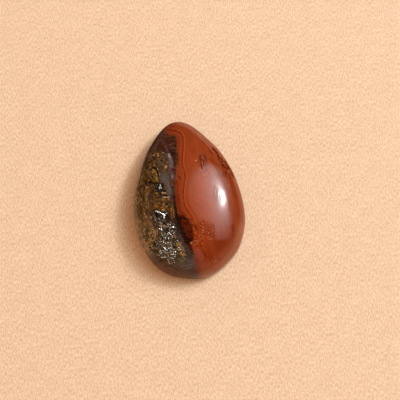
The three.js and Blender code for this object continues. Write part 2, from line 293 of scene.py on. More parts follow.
        ([(190.2, 153.4)], 0.56, 0.6), ([(197.0, 167.6)], 0.48, 0.9), ([(192.6, 172.8)], 0.48, 0.6), ([(206.6, 172.2), (208.0, 173.4)], 0.40, 0.8), ([(199.6, 171.6)], 0.40, 0.7), ([(206.0, 224.6)], 0.48, 0.6), ([(196.4, 234.0)], 0.40, 0.7),
        ([(177.4, 180.6)], 0.40, 0.6)],
    # scuffed, duller polish in the highlight; its pale grey-mauve colour is a painted reflection
    "scuff_and_reflection": [
        ([(217.5, 188.2), (217.1, 192.0), (216.9, 196.4)], 0.5, 1.0), ([(219.7, 195.0), (219.9, 199.6)], 0.5, 0.9), ([(214.5, 186.0), (213.9, 192.0), (214.2, 199.0)], 0.8, 0.75),
        ([(215.2, 195.6), (216.4, 199.6), (217.0, 202.0)], 0.7, 0.7), ([(219.2, 189.0), (219.6, 191.5)], 0.35, 0.6), ([(225.6, 193.4), (226.2, 196.4)], 0.4, 0.8), ([(221.2, 185.6), (223.4, 190.0)], 0.4, 0.5)],
    "fleck": [
        ([(200.4, 156.0), (199.6, 160.0)], 0.9, 0.7), ([(201.2, 158.6), (201.4, 166.0)], 0.6, 1.0), ([(203.6, 160.0), (203.6, 164.6)], 0.5, 0.9), ([(204.6, 155.6), (206.4, 160.6)], 1.2, 0.6), ([(201.8, 166.6), (202.4, 168.4)], 0.6, 0.7),
        ([(212.6, 148.2), (216.0, 152.0), (219.4, 157.4)], 0.9, 1.0), ([(217.0, 154.8), (219.4, 159.6)], 0.7, 1.0), ([(221.0, 158.0), (223.0, 162.0)], 0.9, 1.0), ([(223.4, 164.6), (225.0, 167.0), (227.2, 168.4)], 1.1, 1.0),
        ([(225.0, 161.6), (227.4, 165.4), (229.4, 169.6)], 0.8, 1.0), ([(226.0, 170.6), (226.2, 173.4)], 0.8, 0.9), ([(231.2, 171.6), (233.6, 177.4)], 0.8, 0.9), ([(221.4, 163.6), (222.8, 166.4)], 0.8, 0.9), ([(229.6, 173.6), (230.8, 179.0)], 0.7, 0.8),
        ([(222.6, 171.0), (224.2, 176.4)], 0.6, 0.7), ([(226.0, 187.0), (227.6, 192.0)], 0.8, 0.35), ([(228.6, 199.0), (229.4, 206.0)], 0.7, 0.4),
        ([(232.6, 226.4), (234.0, 231.4), (233.2, 238.0)], 2.4, 0.55), ([(213.2, 224.4), (213.8, 228.0)], 0.8, 0.7), ([(214.0, 232.0), (214.6, 238.0)], 0.8, 0.6),
        ([(209.6, 257.4), (211.4, 263.6)], 0.9, 0.5), ([(217.4, 258.4), (221.6, 259.6)], 1.5, 0.6), ([(212.0, 256.8), (214.0, 259.0)], 1.2, 0.5), ([(203.4, 252.0), (206.0, 257.4)], 0.9, 0.6),
        ([(195.2, 224.0), (195.8, 230.4)], 0.7, 0.8), ([(192.2, 234.4), (193.4, 238.0)], 0.9, 0.9), ([(196.6, 227.0), (197.0, 229.0)], 0.9, 0.7)],
}


def fields(x, y, z):
    """Every mask of the markings at the given points, by name."""
    u0, v0 = chart(x, y)
    # the marks' edges wander a little
    u = u0 + 1.3 * (fbm(x * 1.7, y * 1.7, 3, 51) - 0.5) + 0.8 * (noise(x * 6.1, y * 6.1, 61) - 0.5)
    v = v0 + 1.3 * (fbm(x * 1.7, y * 1.7, 3, 71) - 0.5) + 0.8 * (noise(x * 6.1, y * 6.1, 81) - 0.5)
    f = {}
    d, s, _ = line_distance(u, v, SEAM)
    f["seam"] = d * s
    f["soft_seam"] = d * s / (1 + 5.5 * step(244, 262, v0) + 2.0 * step(146, 138, v0))
    d, s, _ = line_distance(u * 0.6 + u0 * 0.4, v * 0.6 + v0 * 0.4, BAND)
    f["band"] = d * s
    px, py = x / SCALE + OFF[0], y / SCALE + OFF[1]
    f["rim"] = (outline(np.arctan2(py, px)) - np.hypot(px, py)) * SCALE
    for name, rows in MARKS.items():
        f[name] = strokes(u, v, rows)
    # dark zone
    f["moss_gold"] = np.maximum.reduce([
        blob(u, v, 154, 162, 6.5, 11, 8, 0.4), blob(u, v, 156, 175, 5.5, 11, -18, 0.4), blob(u, v, 163.5, 163, 5.5, 8.5, -20, 0.45) * 0.8, blob(u, v, 148, 182, 5, 11, 5, 0.6) * 0.7])
    f["layers"] = np.maximum.reduce([blob(u, v, 160, 202, 9.5, 12, 0, 0.35), blob(u, v, 166, 207, 8, 7, 0, 0.4)])
    f["smoke"] = np.maximum.reduce([
        blob(u, v, 164.4, 178.6, 4.4, 7.4, -14, 0.4), blob(u, v, 168.2, 188.0, 2.6, 8.5, -14, 0.5), blob(u, v, 163.0, 164, 4.6, 7, 0, 0.7) * 0.4])
    f["well"] = stroke(u, v, [(181.0, 219.4), (185.4, 223.0), (187.8, 229.0), (188.8, 236.0), (188.2, 240.0)], 5.0, 1.6)
    f["dusk"] = stroke(u, v, [(174.0, 214), (175.6, 222), (178.0, 231), (181.0, 239), (186.0, 248), (190.6, 257)], 2.4, 2.4)
    f["plum"] = np.maximum.reduce([blob(u, v, 166, 143.5, 14, 9.5, 0, 0.3), blob(u, v, 173.4, 163, 3.2, 14, 4, 0.4), blob(u, v, 172.5, 200, 2.8, 14, -6, 0.4)])
    f["edge"] = step(4.2, 2.2, f["rim"]) * step(160, 178, v0) * step(262, 250, v0)
    f["clear"] = np.maximum.reduce([blob(u, v, 177, 267.5, 27, 9.5, -8, 0.45), blob(u, v, 153, 255, 6.5, 8, -35, 0.5), step(270, 277, v0)])
    f["clear_gold"] = np.maximum(blob(u, v, 180.5, 250.5, 5.2, 10.5, -10, 0.4), blob(u, v, 149.5, 240, 6, 14, -15, 0.45))
    f["foot_red"] = stroke(u, v, [(151, 261), (157, 266), (166, 271.0), (176, 274.5), (188, 277)], 2.4, 2.4)
    f["foot_line"] = stroke(u, v, [(160, 263.4), (166, 262.8), (171, 264.6), (176, 267.6), (183, 271)], 0.8, 0.9)
    f["foot_grey"] = np.maximum(stroke(u, v, [(180.6, 266.4), (186, 265.6), (191, 264.8)], 0.5, 0.7), stroke(u, v, [(183, 269.0), (188, 268.6), (192, 267.4)], 0.5, 0.7))
    f["vug"] = np.maximum.reduce([blob(u, v, 161.5, 217, 7.6, 7.0, 20, 0.3), blob(u, v, 168.5, 229.5, 8.0, 8.0, -15, 0.3), blob(u, v, 160.3, 187.4, 3.6, 4.8, 0, 0.35)])
    f["sugar"] = np.maximum.reduce([blob(u, v, 165.5, 248.5, 12.5, 11.0, 12, 0.25), blob(u, v, 172.0, 258, 5.2, 7.0, -10, 0.35), blob(u, v, 167, 238, 8.5, 6, 0, 0.35)])
    # red zone
    f["moss"] = np.maximum.reduce([blob(u, v, 203, 232.5, 11.5, 12.5, -8, 0.45), blob(u, v, 197, 244, 7.0, 7.5, -20, 0.5)])
    f["feather"] = np.maximum.reduce([blob(u, v, 203, 161.5, 4.6, 9, -8, 0.45), blob(u, v, 206, 171, 3.5, 3.0, 0, 0.5) * 0.5])
    f["grainy"] = np.maximum.reduce([blob(u, v, 195, 168, 11, 11, 0, 0.5), blob(u, v, 215, 259, 13, 7, -20, 0.5)])
    f["rose"] = np.maximum.reduce([blob(u, v, 199, 255, 4.0, 8, -28, 0.5), blob(u, v, 201, 266, 7, 6, -20, 0.6) * 0.6])
    f["glow"] = blob(u, v, 198, 200, 16, 33, -12, 0.6)
    f["ripple"] = blob(u, v, 204, 171.5, 6.5, 5.0, 0, 0.4)
    # painted shade: darker bands along the rim at the upper left, the lower left and the narrow end, where the polish
    # is also duller
    f["shaded_rim"] = np.maximum.reduce([step(2.0, 0.8, f["rim"]) * step(168, 150, v0) * step(180, 172, u0), 0.6 * step(1.5, 0.3, f["rim"]) * step(246, 262, v0) * step(206, 194, u0),
                                  0.75 * step(0.8, 0.35, f["rim"]) * step(142, 133, v0) * step(166, 174, u0)])
    f["tip"] = step(153, 137, v0)
    f["under"] = step(237.5, 240.5, v) * step(252, 242, v) * step(211, 216, u) * step(236, 230, u)
    f["deep"] = np.maximum(step(209, 236, u + (v - 200) * 0.12), step(232, 258, v + (u - 205) * 0.35))
    f["right"] = step(5.5, 3.2, f["rim"]) * step(196, 210, u0) * step(192, 176, v0)
    # painted reflection: a paler band along the rim at the lower right
    f["rim_reflection"] = step(2.6, 0.9, f["rim"]) * step(212, 230, v0) * step(196, 206, u0)
    f["brown_foot"] = step(260, 275, v - (u - 205) * 0.35)
    return u0, v0, f


# The crystals that face the light: chart place and half width in chart steps.
GLINTS = [(160.5, 184.9, 0.6), (159.5, 186.2, 0.62), (159.3, 187.8, 0.8), (161.0, 187.4, 0.66),
          (156.2, 211.0, 0.55), (157.3, 211.8, 0.7), (158.6, 212.0, 0.65), (159.3, 210.9, 0.46), (160.0, 212.6, 0.6), (161.2, 213.2, 0.6), (162.4, 213.8, 0.76), (163.5, 214.4, 0.9),
          (164.5, 214.7, 0.85), (164.0, 216.0, 0.65), (165.9, 213.4, 0.5), (166.7, 212.6, 0.42), (163.9, 217.4, 0.74),
          (170.2, 224.5, 0.6), (172.8, 226.9, 0.9), (173.7, 227.3, 0.62), (168.6, 226.7, 0.4), (159.4, 228.4, 0.65), (161.4, 228.6, 0.65), (161.6, 229.6, 0.55), (169.2, 229.8, 0.5),
          (167.5, 234.0, 0.58), (168.2, 233.1, 0.5), (169.0, 232.7, 0.52), (170.0, 233.4, 0.46), (170.8, 234.4, 0.52), (173.4, 233.3, 0.5), (165.3, 238.0, 0.52), (168.4, 238.0, 0.62),
          (177.1, 240.6, 0.5), (175.2, 241.7, 0.42), (163.2, 247.0, 0.5), (166.6, 249.8, 0.46), (161.4, 252.2, 0.46), (164.2, 252.4, 0.42), (160.2, 249.0, 0.42), (155.4, 241.9, 0.55), (156.4, 245.4, 0.6), (158.6, 246.3, 0.7), (165.0, 248.0, 0.8), (165.1, 249.1, 0.75), (168.4, 248.3, 0.65),
          (178.7, 247.3, 0.46), (173.9, 249.3, 0.55), (180.7, 249.5, 0.44), (177.0, 249.4, 0.45), (175.4, 251.6, 0.75), (173.2, 254.2, 0.65), (175.2, 254.8, 0.5), (170.0, 254.4, 0.5),
          (159.6, 255.2, 0.6), (160.6, 253.6, 0.45), (168.4, 256.1, 0.5), (163.4, 242.4, 0.5), (171.0, 241.9, 0.5), (171.0, 244.4, 0.55), (172.0, 258.0, 0.5), (173.6, 258.6, 0.45),
          (170.6, 262.0, 0.4), (175.4, 263.2, 0.4), (161.2, 241.6, 0.45), (172.0, 246.0, 0.45), (170.6, 250.6, 0.5), (162.0, 250.4, 0.45), (157.2, 249.4, 0.4)]


def relief(u, v, x, y, f):
    """How far the surface lies under the polished dome, in millimetres."""
    rough = fbm(x * 3.1, y * 3.1, 3, 11)
    fine = fbm(x * 8.0, y * 8.0, 2, 23)
    vug = step(0.35, 0.75, f["vug"] + (rough - 0.5) * 0.9)
    sugar = step(0.35, 0.8, f["sugar"] + (rough - 0.5) * 0.9)
    deep = vug * (0.22 + 0.22 * rough) + np.maximum(0, sugar - vug) * (0.08 + 0.10 * rough)
    deep = deep * (0.8 + 0.4 * fine)
    pocket = np.zeros(u.shape)
    for cu, cv, r in GLINTS:
        pocket = np.maximum(pocket, (0.16 + 0.16 * r) * stroke(u, v, [(cu, cv), (cu + 0.9, cv - 0.4)], r + 0.3, 0.6))
    deep = np.maximum(deep, pocket)
    deep = deep + 0.03 * np.maximum(f["pit_and_glint"], 0.6 * f["black"]) * (f["rim"] > 1.0)
    deep = deep + 0.012 * blob(u, v, 218.5, 193.5, 2.6, 5.5, -15, 0.5) * (noise(x * 4.2, y * 4.2, 91) - 0.5)
    return deep, vug, sugar


# ------------------------------------------------------------------- mesh ---
FINE = 0.052
SPREAD = 1.22


def stone_mesh():
    t = np.linspace(0, 2 * np.pi, 3601)
    rr = outline(t)
    seg = np.hypot(np.diff(rr * np.cos(t)), np.diff(rr * np.sin(t)))
    run = np.concatenate([[0], np.cumsum(seg)])
    n = 576
    ring_t = np.interp(np.linspace(0, run[-1], n, endpoint=False), run, t)

    # a nested hexagonal lattice on the unrolled dome, finer where the marks are
    half = SPREAD * rr.max() + 1
    rows = int(2 * half / (FINE * math.sqrt(3) / 2)) // 4 * 4 + 4
    cols = int(2 * half / FINE) // 4 * 4 + 4
    j, i = np.meshgrid(np.arange(-rows // 2, rows // 2), np.arange(-cols // 2, cols // 2), indexing="ij")
    qx = (i + 0.5 * j) * FINE
    qy = j * FINE * math.sqrt(3) / 2
    a = np.arctan2(qy, qx)
    s = np.hypot(qx, qy) / (SPREAD * outline(a))
    level = np.where((i % 4 == 0) & (j % 4 == 0), 0, np.where((i % 2 == 0) & (j % 2 == 0), 1, 2))
    keep = s < 0.992
    a, s, level = a[keep], s[keep], level[keep]
    share = np.sin(s * np.pi / 2)
    r = outline(a) * share
    x, y = (r * np.cos(a) - OFF[0]) * SCALE, (r * np.sin(a) - OFF[1]) * SCALE
    u, v, f = fields(x, y, None)
    want = np.zeros(len(x), int)
    want[(f["seam"] < 18) | (f["moss"] > 0.02) | (f["feather"] > 0.02) | (f["fleck"] > 0.02) | (f["pit_and_glint"] > 0.02) | (s > 0.9)] = 1
    want[(f["vug"] > 0.02) | (f["sugar"] > 0.02) | (np.hypot((u - 218.5) / 4, (v - 193.5) / 7) < 1)] = 2
    keep = level <= want
    x, y, a, s = x[keep], y[keep], a[keep], s[keep]
    x = np.concatenate([x, (outline(ring_t) * np.cos(ring_t) - OFF[0]) * SCALE])
    y = np.concatenate([y, (outline(ring_t) * np.sin(ring_t) - OFF[1]) * SCALE])
    a = np.concatenate([a, ring_t])
    s = np.concatenate([s, np.ones(n)])
    m = len(x) - n
    rad = s * SPREAD * outline(a)
    pts = [Vector(p) for p in np.stack([rad * np.cos(a), rad * np.sin(a)], -1).tolist()]
    loop = list(range(m, m + n))
    out = delaunay_2d_cdt(pts, [(loop[k], loop[(k + 1) % n]) for k in range(n)], [], 0, 1e-9)
    tris = np.array([q for q in out[2] if len(q) == 3], int)
    orig = np.array([o[0] if len(o) else -1 for o in out[3]], int)
    tris = orig[tris]
    tris = tris[~np.all(tris >= m, axis=1)]

    z = dome(x, y)
    z[m:] = GIRDLE_TOP
    u, v, f = fields(x, y, z)
    e = 0.02
    inner = np.arange(len(x)) < m
    zx = np.where(inner, (dome(x + e, y) - dome(x - e, y)) / (2 * e), 0)
    zy = np.where(inner, (dome(x, y + e) - dome(x, y - e)) / (2 * e), 0)
    nrm = np.stack([-zx, -zy, np.ones_like(zx)], -1)
    nrm /= np.linalg.norm(nrm, axis=1)[:, None]
    deep, vug, sugar = relief(u, v, x, y, f)
    deep = deep * step(0.0, 0.6, f["rim"])
    top = np.stack([x, y, z], -1) - nrm * deep[:, None]

    # side, bevel and back
    edge = top[m:]
    ex, ey = edge[:, 0] + OFF[0] * SCALE, edge[:, 1] + OFF[1] * SCALE
    er = np.hypot(ex, ey)
    rings, zs = [], []
    drops = [(0.0, 1.42), (0.0, 1.2), (0.0, 1.0), (0.0, 0.8), (0.0, 0.6), (0.004, 0.46), (0.025, 0.40), (0.06, 0.35),
             (0.16, 0.245), (0.27, 0.135), (0.36, 0.045), (0.395, 0.012), (0.44, 0.0)]
    for inset, h in drops:
        k = (er - inset) / er
        rings.append(np.stack([ex * k - OFF[0] * SCALE, ey * k - OFF[1] * SCALE, np.full(n, h)], -1))
    pieces = [top] + rings
    verts = np.concatenate(pieces)
    base = len(top)
    faces = [tuple(q) for q in tris.tolist()]
    prev = loop
    for k in range(len(rings)):
        cur = list(range(base + k * n, base + (k + 1) * n))
        for q in range(n):
            w = (q + 1) % n
            faces.append((prev[q], cur[q], cur[w], prev[w]))
        prev = cur
    last = rings[-1]
    gx, gy = np.meshgrid(np.arange(-12, 12, 0.35), np.arange(-17, 17, 0.35))
    gx = gx + 0.175 * (np.round(gy / 0.35).astype(int) % 2)
    gx, gy = gx.ravel(), gy.ravel()
    gt = np.arctan2(gy / SCALE + OFF[1], gx / SCALE + OFF[0])
    ok = np.hypot(gx / SCALE + OFF[0], gy / SCALE + OFF[1]) < outline(gt) - 0.7
    gx, gy = gx[ok], gy[ok]
    bp = [Vector((p[0], p[1])) for p in last[:, :2].tolist()] + [Vector(p) for p in np.stack([gx, gy], -1).tolist()]
    bl = list(range(n))
    bout = delaunay_2d_cdt(bp, [(bl[k], bl[(k + 1) % n]) for k in range(n)], [], 0, 1e-9)
    borig = np.array([o[0] for o in bout[3]], int)
    bt = borig[np.array([q for q in bout[2] if len(q) == 3], int)]
    bt = bt[~np.all(bt < n, axis=1)]
    base2 = len(verts)
    index = np.concatenate([np.array(prev), base2 + np.arange(len(gx))])
    faces += [(int(index[q[0]]), int(index[q[2]]), int(index[q[1]])) for q in bt.tolist()]
    verts = np.concatenate([verts, np.stack([gx, gy, np.zeros(len(gx))], -1)])
    return verts, faces, m, n, dict(top=len(top), nrm=nrm, deep=deep)


verts, faces, M, N, extra = stone_mesh()
mesh = bpy.data.meshes.new("agate_cabochon")
mesh.from_pydata((verts * MM).tolist(), [], faces)
mesh.validate()
mesh.update()
mesh.polygons.foreach_set("use_smooth", np.ones(len(mesh.polygons), bool))
stone = bpy.data.objects.new("agate_cabochon", mesh)
bpy.context.scene.collection.objects.link(stone)
print("stone", len(verts), "vertices", sum(len(q) - 2 for q in faces), "triangles")

U, V, F = fields(verts[:, 0], verts[:, 1], verts[:, 2])
deep, vug, sugar = relief(U, V, verts[:, 0], verts[:, 1], F)
on_top = (np.arange(len(verts)) < extra["top"]).astype(float)
F["open_vug"] = vug * on_top
F["open_sugar"] = sugar * on_top
F["ground"] = (verts[:, 2] < 0.02).astype(float)
for name, values in F.items():
    at = mesh.attributes.new("m_" + name, "FLOAT", "POINT")
    at.data.foreach_set("value", np.asarray(values, np.float32))


# --------------------------------------------------------------- material ---
KEY = np.array([0.7202161, 0.33009904, 0.61018308])    # towards the light
HALF = KEY + BACK
HALF /= np.linalg.norm(HALF)
# what a white surface with a given normal sends back, per channel
LIGHT = np.array([[0.7152, 0.0787, 0.6874, -0.1355],
                  [0.7619, 0.1131, 0.3857, -0.0327],
                  [0.7797, 0.1227, 0.2259, 0.0369]])


def chart_to_plan(pts):
    """Plan places (mm) of chart points, by steps along the sight lines."""
    pts = np.array(pts, float)
    k = 400 * LENS / 36
    d = RIGHT[None] * ((pts[:, :1] - 200) / k) + UP[None] * ((200 - pts[:, 1:2]) / k) - BACK[None]
    z = np.full(len(pts), 6.0)
    for _ in range(60):
        p = EYE[None] + d * ((z - EYE[2]) / d[:, 2])[:, None]
        z = 0.5 * z + 0.5 * dome(p[:, 0], p[:, 1])
    return p[:, 0], p[:, 1]


def normal_at(x, y):
    e = 0.02
    n = np.stack([-(dome(x + e, y) - dome(x - e, y)) / (2 * e), -(dome(x, y + e) - dome(x, y - e)) / (2 * e), np.ones_like(x)], -1)
    return n / np.linalg.norm(n, axis=-1, keepdims=True)


def srgb(c):
    c = np.array(c, float) / 255
    return np.where(c <= 0.04045, c / 12.92, ((c + 0.055) / 1.055) ** 2.4)


_lit = {}


def tone(r, g, b, at=(190, 185)):
    """The surface colour that looks like r, g, b at that place of the chart."""
    if at not in _lit:
        n = normal_at(*chart_to_plan([at]))[0]
        c = max(0.0, float(n @ KEY))
        _lit[at] = LIGHT @ np.array([c, c * c, 1.0, n[2]])
    c = np.clip(srgb((r, g, b)) - 0.001, 0.0004, 1) / (0.97 * _lit[at])
    return (*np.clip(c, 0, 0.9).tolist(), 1.0)


def scaled(c, k):
    return (*(min(q * k, 0.95) for q in c[:3]), 1.0)


class Nodes:
    def __init__(self, mat):
        self.t = mat.node_tree
        self.t.nodes.clear()
        tc = self.t.nodes.new("ShaderNodeTexCoord")
        sc = self.t.nodes.new("ShaderNodeVectorMath")
        sc.operation = "SCALE"
        sc.inputs["Scale"].default_value = 1000.0
        self.t.links.new(tc.outputs["Object"], sc.inputs[0])
        self.pos = sc.outputs[0]
        self.attrs = {}

    def link(self, value, socket):
        if isinstance(value, (int, float)):
            socket.default_value = value
        elif isinstance(value, tuple):
            socket.default_value = value
        else:
            self.t.links.new(value, socket)

    def attr(self, name):
        if name not in self.attrs:
            n = self.t.nodes.new("ShaderNodeAttribute")
            n.attribute_type = "GEOMETRY"
            n.attribute_name = "m_" + name
            self.attrs[name] = n.outputs["Fac"]
        return self.attrs[name]

    def math(self, op, a, b=0.0, c=None, clamp=False):
        n = self.t.nodes.new("ShaderNodeMath")
        n.operation = op
        n.use_clamp = clamp
        self.link(a, n.inputs[0])
        self.link(b, n.inputs[1])
        if c is not None:
            self.link(c, n.inputs[2])
        return n.outputs[0]

    def add(self, a, b):
        return self.math("ADD", a, b)

    def mul(self, a, b):
        return self.math("MULTIPLY", a, b)

    def jitter(self, a, n, amount):
        """a, moved up and down by a noise with the mean 0.5."""
        return self.add(a, self.math("MULTIPLY_ADD", n, amount, -0.5 * amount))

    def smooth(self, v, lo, hi):
        n = self.t.nodes.new("ShaderNodeMapRange")
        n.interpolation_type = "SMOOTHSTEP"
        self.link(v, n.inputs["Value"])
        n.inputs["From Min"].default_value = lo
        n.inputs["From Max"].default_value = hi
        return n.outputs["Result"]

    def noise(self, scale, detail=3.0, rough=0.5, distort=0.0, vec=None, color=False):
        n = self.t.nodes.new("ShaderNodeTexNoise")
        n.inputs["Scale"].default_value = scale
        n.inputs["Detail"].default_value = detail
        n.inputs["Roughness"].default_value = rough
        n.inputs["Distortion"].default_value = distort
        self.link(vec or self.pos, n.inputs["Vector"])
        return n.outputs["Color"] if color else n.outputs["Fac"]

    def voronoi(self, scale, feature="F1", vec=None, out="Distance", smooth=None):
        n = self.t.nodes.new("ShaderNodeTexVoronoi")
        n.feature = feature
        n.inputs["Scale"].default_value = scale
        if smooth is not None:
            n.inputs["Smoothness"].default_value = smooth
        self.link(vec or self.pos, n.inputs["Vector"])
        return n.outputs[out]

    def combine(self, x, y, z):
        n = self.t.nodes.new("ShaderNodeCombineXYZ")
        self.link(x, n.inputs[0])
        self.link(y, n.inputs[1])
        self.link(z, n.inputs[2])
        return n.outputs[0]

    def separate(self, v):
        n = self.t.nodes.new("ShaderNodeSeparateXYZ")
        self.link(v, n.inputs[0])
        return n.outputs

    def warp(self, scale, amount, vec=None):
        c = self.noise(scale, 2.0, 0.5, 0.0, vec, color=True)
        s = self.t.nodes.new("ShaderNodeVectorMath")
        s.operation = "MULTIPLY_ADD"
        self.link(c, s.inputs[0])
        s.inputs[1].default_value = (amount,) * 3
        self.link(vec or self.pos, s.inputs[2])
        return s.outputs[0]

    def stretch(self, x, y, z, vec=None):
        s = self.separate(vec or self.pos)
        return self.combine(self.mul(s[0], x), self.mul(s[1], y), self.mul(s[2], z))

    def cells(self, scale, vec, softness=0.3):
        """A random value per cell of a cracked pattern, with soft borders."""
        return self.separate(self.voronoi(scale, "SMOOTH_F1", vec, "Color", softness))[0]

    def mix(self, fac, a, b, mode="MIX"):
        n = self.t.nodes.new("ShaderNodeMix")
        n.data_type = "RGBA"
        n.blend_type = mode
        self.link(fac, n.inputs[0])
        self.link(a, n.inputs[6])
        self.link(b, n.inputs[7])
        return n.outputs[2]

    def vary(self, colour, n, amount):
        """The colour made darker and lighter by a noise."""
        s = self.t.nodes.new("ShaderNodeVectorMath")
        s.operation = "SCALE"
        self.link(colour[:3] if isinstance(colour, tuple) else colour, s.inputs[0])
        self.link(self.math("MULTIPLY_ADD", self.smooth(n, 0.28, 0.72), 2 * amount, 1 - amount), s.inputs["Scale"])
        return s.outputs[0]

    def ramp(self, fac, stops):
        n = self.t.nodes.new("ShaderNodeValToRGB")
        while len(n.color_ramp.elements) < len(stops):
            n.color_ramp.elements.new(0.5)
        for e, (p, c) in zip(n.color_ramp.elements, stops):
            e.position, e.color = p, c
        self.link(fac, n.inputs[0])
        return n.outputs[0]


TOP_L, MIDDLE, LEFT, FOOT = (166, 150), (160, 195), (143, 208), (170, 258)


def agate_material():
    mat = bpy.data.materials.new("agate")
    mat.use_nodes = True
    g = Nodes(mat)
    sep = g.separate(g.pos)
    big = g.noise(0.22, 3.0, 0.55)
    mid = g.noise(1.1, 3.0, 0.55)
    small = g.noise(4.2, 3.0, 0.6)
    tiny = g.noise(9.0, 2.0, 0.6)

    fine = g.noise(3.3, 2.0, 0.65, 0.3)
    grit = g.noise(1.0, 2.0, 0.6, 0.0, g.stretch(3.6, 3.9, 3.2))
    dash = g.noise(1.0, 3.0, 0.65, 0.5, g.combine(g.mul(g.attr("rim"), 3.2), g.mul(sep[1], 1.45), g.mul(sep[2], 0.8)))

    def paint(colour, name, c, spread=0.2, amount=0.6, lo=0.18, hi=0.82, most=1.0, by=None):
        cover = g.smooth(g.jitter(g.attr(name), by or small, amount), lo, hi)
        inner = g.ramp(grit, [(0.36, scaled(c, 1 - 1.4 * spread)), (0.64, scaled(c, 1 + 1.4 * spread))])
        return g.mix(g.mul(cover, most), colour, inner)

    # distance to the seam, in chart steps, made to wander a little
    seam = g.jitter(g.jitter(g.attr("seam"), mid, 1.0), small, 0.8)
    soft_seam = g.jitter(g.attr("soft_seam"), mid, 0.8)

    # ---- red zone
    red = g.mix(g.attr("deep"), tone(155, 65, 30, (190, 150)), tone(136, 52, 20, (222, 246)))
    red = g.mix(g.mul(g.smooth(g.attr("glow"), 0.0, 1.0), 0.95), red, tone(168, 75, 39, (197, 195)))
    red = g.vary(red, big, 0.07)
    streak = g.noise(1.0, 4.0, 0.6, 0.0, g.combine(g.mul(g.attr("seam"), 0.62), g.mul(sep[1], 0.22), g.mul(sep[2], 0.3)))
    red = g.vary(red, streak, 0.11)
    band = g.math("MULTIPLY_ADD", g.jitter(g.jitter(g.attr("band"), mid, 1.3), small, 1.0), 1 / 12.0, 0.5)
    A = (188, 170)
    bands = g.ramp(band, [(0.10, tone(148, 60, 27, A)), (0.25, tone(144, 57, 25, A)), (0.33, tone(164, 70, 34, A)), (0.42, tone(144, 53, 21, A)), (0.49, tone(112, 33, 8, A)),
                          (0.53, tone(122, 40, 12, A)), (0.60, tone(180, 84, 45, A)), (0.70, tone(160, 66, 30, A)), (0.79, tone(144, 55, 22, A)), (0.90, tone(158, 66, 31, A))])
    near_band = g.mul(g.smooth(band, 0.02, 0.12), g.smooth(band, 1.0, 0.86))
    red = g.mix(g.mul(near_band, g.math("MULTIPLY_ADD", g.smooth(mid, 0.3, 0.6), 0.45, 0.42)), red, bands)
    red = g.mix(g.mul(g.smooth(g.jitter(g.attr("brick"), mid, 0.5), 0.1, 0.9), 0.8), red, tone(108, 38, 13, (178, 200)))
    # moss: small loops and squiggles
    loops = g.math("PINGPONG", g.mul(g.noise(1.15, 2.0, 0.55, 0.6, g.warp(1.3, 1.0)), 5.2), 0.5)
    C = (203, 232)
    moss = g.ramp(loops, [(0.03, tone(98, 25, 5, C)), (0.18, tone(128, 43, 13, C)), (0.34, tone(152, 61, 25, C)), (0.48, tone(184, 90, 48, C))])
    moss = g.vary(g.mix(g.smooth(mid, 0.50, 0.30), moss, tone(146, 56, 22, C)), grit, 0.16)
    moss_on = g.smooth(g.jitter(g.jitter(g.attr("moss"), mid, 0.7), small, 0.5), 0.1, 1.0)
    red = g.mix(g.mul(moss_on, 0.9), red, moss)
    red = g.mix(g.mul(g.attr("grainy"), 0.9), red, g.vary(red, fine, 0.22))
    ripple = g.noise(1.0, 2.0, 0.5, 0.6, g.stretch(0.7, 3.6, 1.0))
    red = g.mix(g.attr("ripple"), red, g.vary(red, ripple, 0.3))
    red = g.mix(g.mul(g.smooth(g.jitter(g.attr("feather"), fine, 0.8), 0.3, 0.8), 0.6), red, tone(122, 62, 40, (202, 162)))
    foot_streak = g.noise(1.0, 3.0, 0.6, 0.2, g.stretch(2.6, 0.45, 0.6))
    red = g.mix(g.mul(g.smooth(g.jitter(g.attr("rose"), foot_streak, 1.1), 0.1, 1.0), 0.6), red, tone(146, 68, 50, (200, 257)))
    red = g.mix(g.mul(g.attr("under"), 0.34), red, tone(108, 36, 11, (222, 243)))
    red = g.mix(g.mul(g.smooth(g.attr("brown_foot"), 0.0, 1.0), 0.5), red, tone(122, 60, 36, (205, 270)))
    red = g.mix(g.smooth(g.attr("brown_foot"), 0.0, 0.8), red, g.vary(red, foot_streak, 0.22))
    # fibres along the right edge
    fib = g.noise(1.0, 4.0, 0.65, 0.0, g.combine(g.mul(g.attr("rim"), 3.0), g.mul(sep[1], 0.45), g.mul(sep[2], 0.4)))
    red = g.mix(g.mul(g.attr("right"), g.smooth(fib, 0.48, 0.62)), red, g.mix(0.55, red, tone(98, 30, 9, (222, 172))))
    red = paint(red, "fleck", tone(96, 27, 8, (215, 165)), 0.2, 0.5, 0.25, 0.75, 0.85, fine)
    # scuffs in the highlight painted pale grey-mauve: a painted reflection over duller polish
    red = g.mix(g.mul(g.attr("scuff_and_reflection"), 0.8), red, tone(158, 122, 112, (217, 194)))
    red = g.vary(red, tiny, 0.06)
    red = g.mix(g.mul(g.attr("tip"), 0.5), red, g.vary(red, 0.0, 0.24))
    # painted reflection of the floor: a paler band along the rim at the lower right
    red = g.mix(g.mul(g.attr("rim_reflection"), 0.42), red, tone(160, 92, 62, (228, 250)))
    # the pale flecks at the pits are painted glints
    red = paint(red, "pit_and_glint", tone(200, 124, 86, (200, 170)), 0.12, 0.3, 0.2, 1.0)

